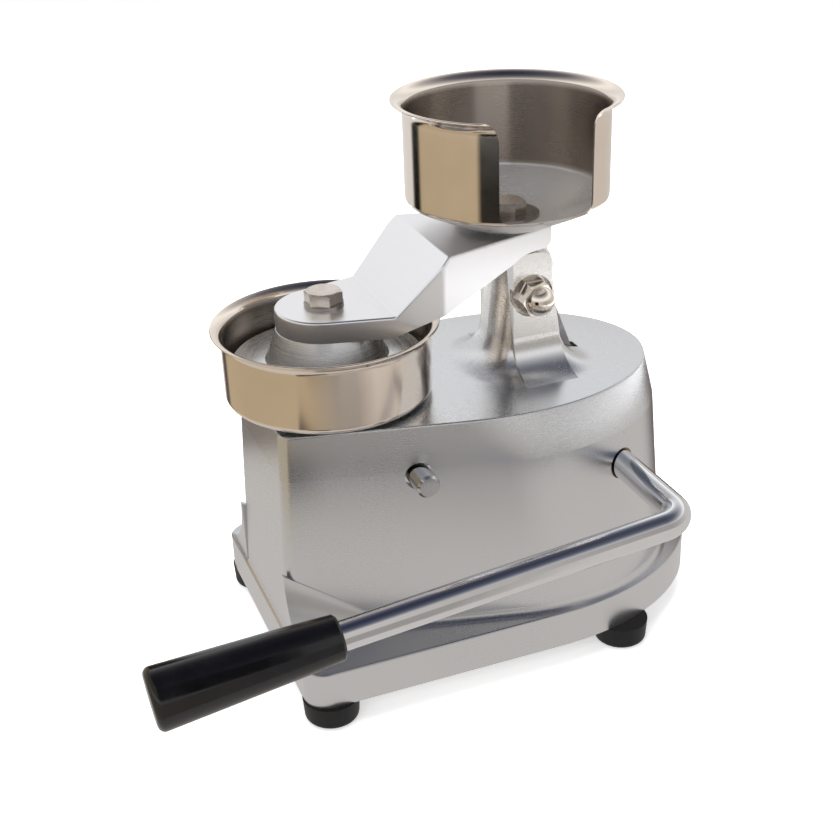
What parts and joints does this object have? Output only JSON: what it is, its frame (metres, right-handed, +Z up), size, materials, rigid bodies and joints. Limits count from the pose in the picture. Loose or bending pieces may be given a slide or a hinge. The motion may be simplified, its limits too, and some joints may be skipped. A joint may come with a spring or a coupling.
{
  "type": "patty press",
  "caption": "Lever-operated countertop patty press with a cast body, a round steel mould, a hinged press arm and a slotted paper holder.",
  "frame": {"origin": "on the ground plane under the feet, at the middle of the whole machine's box, lever included", "axes": "+Z up, -Y towards the operator, +X towards the lever bar"},
  "size_m": [0.2222, 0.3319, 0.2866],
  "materials": {
    "cast_body": "satin brushed casting",
    "cast_arm": "satin brushed casting",
    "turned_head": "fine turned",
    "plate_aluminium": "turned face",
    "bowl_steel": "polished stainless, spun",
    "bar_chrome": "bright chrome plate",
    "acorn_chrome": "bright chrome plate",
    "nickel_steel": "bright nickel plate",
    "zinc_steel": "zinc plate",
    "pin_steel": "ground bright",
    "link_steel": "cold rolled plate",
    "bronze": "sintered, oiled",
    "grip_black": "gloss moulded",
    "foot_rubber": "matte moulded",
    "roller_nylon": "machined"
  },
  "bodies": {
    "base": {"housing": "cast_body", "feet": "foot_rubber", "foot_washers": "zinc_steel", "foot_screws": "zinc_steel", "mould_bowl": "bowl_steel", "mould_screws": "zinc_steel", "guide_bush": "bronze", "shaft_bush_right": "bronze", "shaft_bush_left": "bronze", "pivot_bolt": "nickel_steel", "pivot_washer": "nickel_steel", "lock_nut": "nickel_steel", "acorn_nut": "acorn_chrome", "cross_pin": "pin_steel", "cross_pin_clips": "pin_steel"},
    "lever": {"lever_bar": "bar_chrome", "grip": "grip_black", "shaft_collars": "zinc_steel", "arm_crank": "link_steel", "lift_crank": "link_steel", "arm_crank_pin": "pin_steel", "lift_crank_pin": "pin_steel", "crank_roll_pins": "pin_steel"},
    "arm": {"press_arm": "cast_arm", "arm_bush": "bronze", "link_pin": "pin_steel", "press_head": "turned_head", "head_bolt": "nickel_steel", "head_washer": "nickel_steel", "holder_spacer": "turned_head", "paper_holder": "bowl_steel", "holder_washer": "nickel_steel", "holder_bolt": "nickel_steel"},
    "link": {"arm_link": "link_steel"},
    "rod": {"push_rod": "link_steel"},
    "rocker": {"lift_rocker": "link_steel", "roller_pin": "pin_steel", "rocker_rod_pin": "pin_steel"},
    "roller": {"lift_roller": "roller_nylon"},
    "ejector": {"ejector_plate": "plate_aluminium", "ejector_stem": "pin_steel", "ejector_screw": "nickel_steel"}
  },
  "joints": [
    {"name": "handle_turn", "type": "hinge", "parent": "base", "child": "lever", "pos_m": [-0.028, 0.098, 0.104], "axis": [-1, 0, 0], "range_deg": [0, 65]},
    {"name": "arm_tilt", "type": "hinge", "parent": "base", "child": "arm", "pos_m": [-0.028, 0.066, 0.188], "axis": [-1, 0, 0], "range_deg": [0, 65]},
    {"name": "link_swing", "type": "hinge", "parent": "lever", "child": "link", "pos_m": [-0.028, 0.10636, 0.11523], "axis": [-1, 0, 0], "range_deg": [-65, 0]},
    {"name": "rod_swing", "type": "hinge", "parent": "lever", "child": "rod", "pos_m": [-0.028, 0.1072, 0.08402], "axis": [-1, 0, 0], "range_deg": [-65, 0]},
    {"name": "rocker_turn", "type": "hinge", "parent": "base", "child": "rocker", "pos_m": [-0.028, -0.012, 0.119], "axis": [-1, 0, 0], "range_deg": [0, 65]},
    {"name": "roller_spin", "type": "hinge", "parent": "rocker", "child": "roller", "pos_m": [-0.028, -0.03562, 0.10396], "axis": [-1, 0, 0], "continuous": true},
    {"name": "ejector_lift", "type": "slide", "parent": "base", "child": "ejector", "axis": [0, 0, 1], "range_m": [0, 0.0301]}
  ],
  "couplings": [
    {"joint": "arm_tilt", "follows": "handle_turn", "ratio": 1},
    {"joint": "link_swing", "follows": "handle_turn", "ratio": -1},
    {"joint": "rod_swing", "follows": "handle_turn", "ratio": -1},
    {"joint": "rocker_turn", "follows": "handle_turn", "ratio": 1},
    {"joint": "ejector_lift", "follows": "handle_turn", "m_per_rad": 0.02652}
  ]
}
